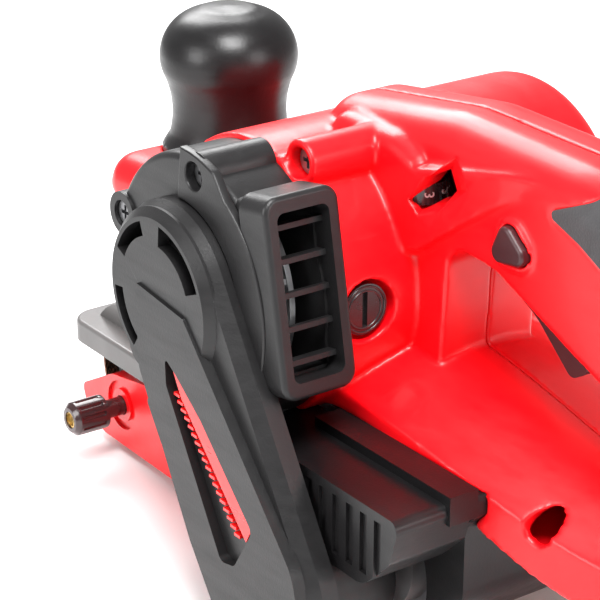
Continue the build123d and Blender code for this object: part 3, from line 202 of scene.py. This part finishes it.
def cast(name, color, rough=0.45):
    """Die-cast aluminium with a sandy skin."""
    p = Paint(name)
    p.color(p.ramp(p.noise(70, 5), [(0.3, shade(color, 0.82)), (0.7, shade(color, 1.08))]))
    p.rough(p.remap(p.noise(120, 4), 0.3, 0.7, rough - 0.08, rough + 0.12))
    p.bump(p.noise(1100, 3), 0.3, 0.0002)
    p.fixed(Metallic=0.95)
    return p.mat


def abrasive():
    """Sanding belt: dark red-brown resin with pale and dark grains standing out of it."""
    p = Paint("abrasive_grit")
    grains = p.cells(1500)
    body = p.ramp(p.noise(900, 4), [(0.35, (0.10, 0.035, 0.02)), (0.5, (0.26, 0.10, 0.05)),
                                    (0.62, (0.42, 0.20, 0.11)), (0.75, (0.60, 0.38, 0.25))])
    dust = p.noise(26, 4)
    p.color(p.mix(p.remap(dust, 0.55, 0.75, 0.0, 0.22), body, (0.62, 0.46, 0.32)))
    p.rough(p.remap(grains, 0.0, 0.6, 0.55, 0.95))
    p.bump(grains, 0.9, 0.0004)
    return p.mat


def laminated(name, color):
    """Stacked steel laminations across the motor axis."""
    p = Paint(name)
    wave = p.add("ShaderNodeTexWave", wave_type="BANDS", bands_direction="X")
    wave.inputs["Scale"].default_value = 320
    p.link(p.coords, wave.inputs["Vector"])
    p.color(p.ramp(wave.outputs["Fac"], [(0.2, shade(color, 0.55)), (0.6, color)]))
    p.rough(p.remap(p.noise(80), 0.3, 0.7, 0.35, 0.55))
    p.bump(wave.outputs["Fac"], 0.4, 0.0001)
    p.fixed(Metallic=0.9)
    return p.mat


def wound(name, color):
    """Enamelled copper wire, laid side by side."""
    p = Paint(name)
    wave = p.add("ShaderNodeTexWave", wave_type="BANDS", bands_direction="DIAGONAL")
    wave.inputs["Scale"].default_value = 420
    wave.inputs["Distortion"].default_value = 1.5
    p.link(p.coords, wave.inputs["Vector"])
    p.color(p.ramp(wave.outputs["Fac"], [(0.1, shade(color, 0.35)), (0.5, color)]))
    p.rough(p.remap(p.noise(60), 0.3, 0.7, 0.22, 0.4))
    p.bump(wave.outputs["Fac"], 0.7, 0.0003)
    p.fixed(Metallic=0.7)
    return p.mat


def circuit_board():
    p = Paint("circuit_board")
    tracks = p.cells(260, "DISTANCE_TO_EDGE")
    p.color(p.mix(p.remap(tracks, 0.0, 0.06, 1.0, 0.0), (0.02, 0.11, 0.05), (0.10, 0.30, 0.12)))
    p.rough(p.remap(p.noise(90), 0.3, 0.7, 0.3, 0.45))
    p.bump(tracks, 0.2, 0.0001)
    return p.mat


def cork():
    p = Paint("cork_pad")
    p.color(p.ramp(p.cells(420), [(0.05, (0.16, 0.09, 0.04)), (0.35, (0.50, 0.33, 0.17)),
                                  (0.8, (0.62, 0.44, 0.26))]))
    p.rough(p.remap(p.noise(200), 0.3, 0.7, 0.7, 0.9))
    p.bump(p.noise(500), 0.5, 0.0003)
    return p.mat


RED = (0.86, 0.0015, 0.006)
CHARCOAL = (0.011, 0.0105, 0.011)
MATERIALS = {
    "red_plastic": moulded("red_plastic", RED, 0.36, 0.07, 1500, coat=0.12, shine=0.4),
    "red_plate": painted("red_plate", (0.86, 0.002, 0.006), 0.36),
    "red_trim": moulded("red_trim", (0.90, 0.012, 0.012), 0.30, 0.05, coat=0.3),
    "soft_grip": soft_rubber("soft_grip", (0.034, 0.032, 0.034)),
    "black_plastic": moulded("black_plastic", (0.006, 0.0055, 0.006), 0.34, 0.16, 1200, shine=0.4),
    "grey_black_plastic": moulded("grey_black_plastic", CHARCOAL, 0.38, 0.22, 1500, shine=0.38),
    "grey_metal": painted("grey_metal", (0.105, 0.10, 0.098), 0.42),
    "frame_metal": cast("frame_metal", (0.50, 0.50, 0.51)),
    "cast_metal": cast("cast_metal", (0.62, 0.62, 0.63), 0.36),
    "steel": turned("steel", (0.56, 0.56, 0.57), 0.28),
    "core_steel": laminated("core_steel", (0.32, 0.32, 0.33)),
    "bearing_steel": turned("bearing_steel", (0.68, 0.68, 0.69), 0.16),
    "screw_steel": turned("screw_steel", (0.34, 0.34, 0.35), 0.35),
    "spring_steel": turned("spring_steel", (0.50, 0.50, 0.51), 0.30),
    "copper": wound("copper", (0.80, 0.33, 0.14)),
    "brass": turned("brass", (0.80, 0.56, 0.20), 0.25),
    "carbon": moulded("carbon", (0.03, 0.03, 0.03), 0.55, 0.3, 900),
    "cap_plastic": moulded("cap_plastic", (0.020, 0.016, 0.017), 0.22, 0.03, coat=0.4),
    "dark_trigger": moulded("dark_trigger", (0.040, 0.008, 0.010), 0.38, 0.10, 1200),
    "dial_plastic": moulded("dial_plastic", (0.030, 0.022, 0.025), 0.25, 0.05, coat=0.3),
    "belt_rubber": soft_rubber("belt_rubber", (0.030, 0.030, 0.031), 900, 0.3),
    "abrasive": abrasive(),
    "cork_pad": cork(),
    "knob_plastic": moulded("knob_plastic", (0.030, 0.012, 0.013), 0.22, 0.04, coat=0.4),
    "board": circuit_board(),
    "sleeve_rubber": soft_rubber("sleeve_rubber", (0.028, 0.028, 0.030), 1300, 0.3),
}


# ---------------------------------------------------------------- the CAD nodes
FINE = {"tension_spring", "sanding_belt", "armature_windings"}
# widths of the rounded edges, in millimetres
BEVEL_WIDTH = {"belt_cover": 0.35, "fan_volute": 0.5, "dust_outlet": 0.45, "rear_casing": 0.7,
               "side_plate": 0.5, "front_guard": 0.9, "front_handle": 0.5, "belt_frame": 0.6,
               "trigger": 0.8}
BEVEL_DEFAULT = 0.22
CREASE = math.radians(32)


def dress(obj, node):
    """Rounded edges and smooth shading for one CAD node, by modifiers only."""
    weld = obj.modifiers.new("weld", "WELD")
    weld.merge_threshold = 1e-6
    if node not in FINE:
        bevel = obj.modifiers.new("edge", "BEVEL")
        bevel.width = BEVEL_WIDTH.get(node, BEVEL_DEFAULT) * MM
        bevel.segments = 2
        bevel.limit_method = "ANGLE"
        bevel.angle_limit = CREASE
        bevel.harden_normals = False
        bevel.use_clamp_overlap = True
    for face in obj.data.polygons:
        face.use_smooth = True
    normals = obj.modifiers.new("normals", "WEIGHTED_NORMAL")
    normals.keep_sharp = True
    normals.weight = 80


def dress_nodes():
    slot_of = {row["node"]: row["material_slot"] for row in frame["record"]["subparts"]}
    for node, obj in NODES.items():
        material = MATERIALS[slot_of[node]]
        if not obj.material_slots:
            obj.data.materials.append(material)
        for entry in obj.material_slots:
            entry.link = "OBJECT"
            entry.material = material
        dress(obj, node)


# ---------------------------------------------------------------- the two red mouldings
VOXEL = 0.85 * MM
MOULD_SMOOTHING = 5
MOULD_KEEP = 0.42       # share of the faces that is kept


def evaluated_mesh(obj):
    """The object's mesh with its modifiers applied."""
    bpy.context.view_layer.update()
    graph = bpy.context.evaluated_depsgraph_get()
    return bpy.data.meshes.new_from_object(obj.evaluated_get(graph))


def new_object(name, data):
    obj = bpy.data.objects.new(name, data)
    bpy.context.collection.objects.link(obj)
    return obj


def solid_from(name, rings):
    """Closed solid through rings of points in millimetres, with equal counts and flat ends."""
    count = len(rings[0])
    points = [Vector(point) * MM for ring in rings for point in ring]
    faces = [tuple(reversed(range(count))), tuple(range(len(points) - count, len(points)))]
    for low in range(0, len(points) - count, count):
        high = low + count
        for i in range(count):
            j = (i + 1) % count
            faces.append((low + i, low + j, high + j, high + i))
    mesh = bpy.data.meshes.new(name)
    mesh.from_pydata(points, [], faces)
    obj = new_object(name, mesh)
    bpy.context.view_layer.objects.active = obj
    obj.select_set(True)
    bpy.ops.object.mode_set(mode="EDIT")
    bpy.ops.mesh.select_all(action="SELECT")
    bpy.ops.mesh.normals_make_consistent(inside=False)
    bpy.ops.object.mode_set(mode="OBJECT")
    obj.select_set(False)
    return obj


SEAM = 8.0              # plane between the two halves
POD_REAR = -22.5        # rear face of the dial's pod
POD_HALF = 22.4         # how far the pod and the handle reach sideways from the seam
HANDLE_HALF = 18.0
SHOULDER_ROOT = 4.5     # how deep the shoulder starts inside the handle
SHOULDER_LEAN = 3.0     # how much lower its outer edge is than its inner edge
# sections of the shoulder: distance behind POD_REAR, reach from the seam, underside, top
SHOULDER = [(-8, POD_HALF, 118.5, 146.5),
            (0, POD_HALF, 118.5, 147.0),
            (17, POD_HALF - 1.8, 131.0, 151.0),
            (34, HANDLE_HALF + 1.0, 143.0, 154.5),
            (52, HANDLE_HALF - 1.5, 151.0, 156.0)]


def shoulder(side):
    """Overhanging shoulder that runs from the pod's rear corner back into the top of the handle."""
    rings = []
    x_in = SEAM + side * (HANDLE_HALF - SHOULDER_ROOT)
    for behind, reach, low, high in SHOULDER:
        y = POD_REAR - behind
        x_out = SEAM + side * reach
        outer_top = (x_out, y, high - SHOULDER_LEAN)
        rings.append([(x_in, y, low), (x_out, y, low), outer_top, (x_in, y, high)])
    return solid_from("shoulder_%d" % side, rings)


# the dial's pocket slants out of the housing, back, to the left and up
POCKET_TURN = math.radians(35.5)
POCKET_RISE = math.radians(23.0)
POCKET_OUT = Vector((-math.sin(POCKET_TURN) * math.cos(POCKET_RISE),
                     -math.cos(POCKET_TURN) * math.cos(POCKET_RISE),
                     math.sin(POCKET_RISE)))
POCKET_WIDE = Vector((math.cos(POCKET_TURN), -math.sin(POCKET_TURN), 0.0))
POCKET_TALL = POCKET_WIDE.cross(-POCKET_OUT)
POCKET_FOOT = Vector((-10.4, -21.4, 135.2))
# corners across the pocket, and the depths along POCKET_OUT that each outline spans
POCKET_HOLE = [(-4.2, -1.4), (7.0, 5.4), (8.2, 0.2), (-1.4, -6.0)]
POCKET_MOUTH = [(-6.6, -0.4), (8.8, 10.0), (11.4, 0.0), (-3.4, -10.6)]
POCKET_SECTIONS = [(-4.5, POCKET_HOLE), (1.5, POCKET_HOLE), (9.0, POCKET_MOUTH), (26.0, POCKET_MOUTH)]


def dial_pocket():
    """Slanted pocket that uncovers the speed wheel, wider at its mouth than at its foot."""
    rings = []
    for depth, corners in POCKET_SECTIONS:
        centre = POCKET_FOOT + POCKET_OUT * depth
        rings.append([centre + POCKET_WIDE * across + POCKET_TALL * up for across, up in corners])
    return solid_from("dial_pocket", rings)


def meshes_together(name, objects):
    """One mesh with the points and faces of several objects."""
    points = []
    faces = []
    for obj in objects:
        start = len(points)
        points += [vertex.co.copy() for vertex in obj.data.vertices]
        faces += [tuple(start + i for i in face.vertices) for face in obj.data.polygons]
    mesh = bpy.data.meshes.new(name)
    mesh.from_pydata(points, [], faces)
    return mesh


def soft_moulding(node, side, cutter=None):
    """One housing half with the soft inner and outer radii of a moulding, in place of its CAD node."""
    extra = shoulder(side)
    draft = new_object(node + "_draft", meshes_together(node + "_merged", [NODES[node], extra]))
    remesh = draft.modifiers.new("remesh", "REMESH")
    remesh.mode = "VOXEL"
    remesh.voxel_size = VOXEL
    if cutter:
        cut = draft.modifiers.new("pocket", "BOOLEAN")
        cut.operation = "DIFFERENCE"
        cut.solver = "MANIFOLD"
        cut.object = cutter
    smooth = draft.modifiers.new("smooth", "SMOOTH")
    smooth.factor = 0.5
    smooth.iterations = MOULD_SMOOTHING
    thin = draft.modifiers.new("thin", "DECIMATE")
    thin.ratio = MOULD_KEEP
    mesh = evaluated_mesh(draft)
    for helper in (draft, extra, cutter):
        if helper:
            bpy.data.objects.remove(helper)
    for face in mesh.polygons:
        face.use_smooth = True
    piece = new_object(node + "_moulding", mesh)
    finish_piece(piece, "red_plastic", "root")
    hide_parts(node)


# ---------------------------------------------------------------- pieces
def finish_piece(obj, material, body):
    """Material and body of one new piece."""
    obj.data.materials.clear()
    obj.data.materials.append(MATERIALS[material] if isinstance(material, str) else material)
    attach(obj, body)
    return obj


DIAL_RISE = 0.05 * MM       # how far the figures stand off the wheel's rim
DIAL_FIGURES = 6
FIGURE_SIZE = 4.2 * MM
FIGURE_EXTRUDE = 0.18 * MM
FIGURE_STEP = -42.0         # degrees from one figure to the next
FIGURE_BEHIND = 2.5         # figure number that would face straight back


def figure_mesh(number):
    """Flat figure, centred on the origin and facing +Z."""
    curve = bpy.data.curves.new("figure_%d" % number, "FONT")
    curve.body = str(number)
    curve.size = FIGURE_SIZE
    curve.extrude = FIGURE_EXTRUDE
    curve.align_x = "CENTER"
    curve.align_y = "CENTER"
    draft = new_object("figure_draft_%d" % number, curve)
    mesh = evaluated_mesh(draft)
    bpy.data.objects.remove(draft)
    return mesh


def dial_figures():
    """Figures moulded on the rim of the speed wheel, lying on their sides."""
    low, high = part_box("speed_dial")
    centre = Vector([(a + b) / 2 for a, b in zip(low, high)])
    radius = (high[0] - low[0]) / 2
    ink = Paint("figure_ink")
    ink.color(ink.ramp(ink.noise(400, 3), [(0.3, (0.62, 0.60, 0.60)), (0.7, (0.82, 0.80, 0.80))]))
    ink.rough(ink.remap(ink.noise(200), 0.3, 0.7, 0.4, 0.6))
    for number in range(1, DIAL_FIGURES + 1):
        mesh = figure_mesh(number)
        turn = math.radians(-90 + (number - FIGURE_BEHIND) * FIGURE_STEP)
        outward = Vector((math.cos(turn), math.sin(turn), 0))
        side = Vector((0, 0, -1))
        up = outward.cross(side)
        spin = Matrix((side, up, outward)).transposed().to_4x4()
        for vertex in mesh.vertices:
            point = Vector(vertex.co)
            around = Matrix.Rotation(-point.y / radius, 4, Vector((0, 0, 1)))
            flat = spin @ Vector((point.x, 0, radius + DIAL_RISE + point.z))
            vertex.co = centre + around @ flat
        piece = new_object("dial_figure_%d" % number, mesh)
        finish_piece(piece, ink.mat, "speed_wheel")


def flat_piece(name, loops, x_face, thick, round_edge):
    """Flat piece in a plane of constant X, from closed loops of (y, z): an outline, then its holes."""
    curve = bpy.data.curves.new(name, "CURVE")
    curve.dimensions = "2D"
    curve.fill_mode = "BOTH"
    curve.extrude = thick / 2 - round_edge
    curve.bevel_depth = round_edge
    curve.bevel_resolution = 2
    curve.offset = -round_edge
    for loop in loops:
        spline = curve.splines.new("POLY")
        spline.points.add(len(loop) - 1)
        for point, (y, z) in zip(spline.points, loop):
            point.co = (y, z, 0, 1)
        spline.use_cyclic_u = True
    draft = new_object(name + "_draft", curve)
    mesh = evaluated_mesh(draft)
    bpy.data.objects.remove(draft)
    axes = Matrix(((0, 0, -1), (1, 0, 0), (0, 1, 0))).to_4x4()
    mesh.transform(Matrix.Translation((x_face + thick / 2, 0, 0)) @ axes)
    for face in mesh.polygons:
        face.use_smooth = True
    mesh.set_sharp_from_angle(angle=CREASE)
    return new_object(name, mesh)


def ring_points(radius, start, end, count, y=MOTOR_Y, z=MOTOR_Z):
    """Points of an arc in the YZ plane; angles in degrees from +Y towards +Z."""
    points = []
    for k in range(count):
        angle = math.radians(start + (end - start) * k / (count - 1))
        points.append((y + radius * math.cos(angle), z + radius * math.sin(angle)))
    return points


SCROLL_X = -64.8 * MM
SCROLL_THICK = 3.0 * MM
SCROLL_EDGE = 0.5 * MM
SCROLL_TIP_R = 46.2 * MM        # outer radius round the screw, and past it
SCROLL_OUTER_R = 42.4 * MM
SCROLL_INNER_R = 29.9 * MM
SCROLL_END = 214.0              # degrees, where the sector meets the outlet
SCREW_ANGLE = 100.0
SCREW_RING = 39.6 * MM
SCREW_HOLE_R = 4.35 * MM


def scroll_plate():
    """Raised sector on the face of the fan casing, from the top screw round to the outlet."""
    angle = math.radians(SCREW_ANGLE)
    screw = (MOTOR_Y + SCREW_RING * math.cos(angle), MOTOR_Z + SCREW_RING * math.sin(angle))
    outer = ring_points(SCROLL_TIP_R, 90, 112, 12) + ring_points(SCROLL_OUTER_R, 122, SCROLL_END, 46)
    inner = ring_points(SCROLL_INNER_R, SCROLL_END, 86, 46)
    hole = ring_points(SCREW_HOLE_R, 0, 345, 24, *screw)
    plate = flat_piece("fan_casing_scroll", [outer + inner, hole], SCROLL_X, SCROLL_THICK, SCROLL_EDGE)
    finish_piece(plate, "grey_black_plastic", "root")


STRIPE_X = -74.5 * MM
STRIPE_THICK = 2.7 * MM
STRIPE_EDGE = 0.15 * MM
# outline of the stripe in millimetres: distance behind the motor axis, height
STRIPE = [(8.5, 83), (13, 79.5), (24.2, 71.2), (49.6, 46.6), (46.6, 41.5), (13, 75)]
DASH_X = -73.9 * MM
DASH_THICK = 2.1 * MM
DASH_EDGE = 0.08 * MM
DASH_COUNT = 18
DASH_FIRST = (9.6, 74.6)        # centres of the first and last dash, given like the outline
DASH_LAST = (41.1, 41.1)
DASH_HALF = (1.5, 0.5)


def cover_stripe():
    """Coloured stripe and row of short dashes that fill the window of the belt cover."""
    loop = [(MOTOR_Y - behind * MM, height * MM) for behind, height in STRIPE]
    parts = [flat_piece("cover_stripe_insert", [loop], STRIPE_X, STRIPE_THICK, STRIPE_EDGE)]
    first = Vector(DASH_FIRST)
    last = Vector(DASH_LAST)
    half_y, half_z = (size * MM for size in DASH_HALF)
    for k in range(DASH_COUNT):
        behind, height = first.lerp(last, k / (DASH_COUNT - 1)) * MM
        y = MOTOR_Y - behind
        dash = [(y - half_y, height - half_z), (y + half_y, height - half_z),
                (y + half_y, height + half_z), (y - half_y, height + half_z)]
        parts.append(flat_piece("dash_%d" % k, [dash], DASH_X, DASH_THICK, DASH_EDGE))
    bpy.ops.object.select_all(action="DESELECT")
    for part in parts:
        part.select_set(True)
    piece = parts[0]
    bpy.context.view_layer.objects.active = piece
    bpy.ops.object.join()
    finish_piece(piece, "red_trim", "root")
    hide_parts("cover_stripe")


CAP_RINGS = (7.2 * MM, 5.9 * MM)
CAP_RING_WIRE = 0.35 * MM


def brush_cap_rings():
    """Raised rings round the driver slot of each brush cap."""
    low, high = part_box("brush_caps")
    x = (low[0] + high[0]) / 2
    for index, y in enumerate((low[1], high[1])):
        for ring, radius in enumerate(CAP_RINGS):
            bpy.ops.mesh.primitive_torus_add(major_radius=radius, minor_radius=CAP_RING_WIRE,
                                             major_segments=64, minor_segments=10,
                                             location=(x, y, MOTOR_Z), rotation=(math.radians(90), 0, 0))
            piece = bpy.context.object
            piece.name = "brush_cap_ring_%d_%d" % (index, ring)
            for face in piece.data.polygons:
                face.use_smooth = True
            finish_piece(piece, "cap_plastic", "root")


# ---------------------------------------------------------------- floor, light and camera
def stage():
    """Pale floor and soft studio light; camera() places the camera behind the machine's left side."""
    bpy.ops.mesh.primitive_plane_add(size=6, location=(0, 0, 0))
    floor = bpy.context.object
    floor.name = "floor"
    paper = Paint("floor_paper")
    paper.color(paper.ramp(paper.noise(14, 3), [(0.3, (0.84, 0.84, 0.84)), (0.7, (0.87, 0.87, 0.87))]))
    paper.rough(paper.remap(paper.noise(30), 0.3, 0.7, 0.55, 0.65))
    floor.data.materials.append(paper.mat)

    bpy.context.scene.view_settings.view_transform = "Standard"
    world = bpy.data.worlds.new("studio")
    bpy.context.scene.world = world
    world.use_nodes = True
    background = world.node_tree.nodes["Background"]
    background.inputs["Color"].default_value = (1.0, 1.0, 1.0, 1.0)
    background.inputs["Strength"].default_value = 0.45

    lamps = [("key", (-0.20, -0.35, 0.95), 0.45, 16.0), ("side", (-1.00, 0.10, 0.45), 0.50, 6.5),
             ("rear", (0.30, -0.95, 0.42), 0.40, 4.0), ("back", (0.25, 0.75, 0.75), 0.60, 12.0)]
    for name, place, size, power in lamps:
        light = bpy.data.lights.new(name, "AREA")
        light.size = size
        light.energy = power
        obj = bpy.data.objects.new(name, light)
        obj.location = place
        aim = Vector((0, 0.02, 0.07)) - Vector(place)
        obj.rotation_euler = aim.to_track_quat("-Z", "Y").to_euler()
        bpy.context.collection.objects.link(obj)


CAMERA_AT = Vector((-0.3960, -0.5006, 0.3627))
CAMERA_TURN = math.radians(35.5)
CAMERA_DROP = math.radians(23.0)


def camera():
    """Long lens, level, 23 degrees above the machine and 35.5 degrees to the left of its tail."""
    data = bpy.data.cameras.new("view")
    data.lens = 135
    data.sensor_width = 36
    obj = bpy.data.objects.new("view", data)
    obj.location = CAMERA_AT
    obj.rotation_euler = (math.radians(90) - CAMERA_DROP, 0, -CAMERA_TURN)
    bpy.context.collection.objects.link(obj)
    bpy.context.scene.camera = obj


dress_nodes()
soft_moulding("housing_left", -1, dial_pocket())
soft_moulding("housing_right", 1)
dial_figures()
scroll_plate()
cover_stripe()
brush_cap_rings()
stage()
camera()
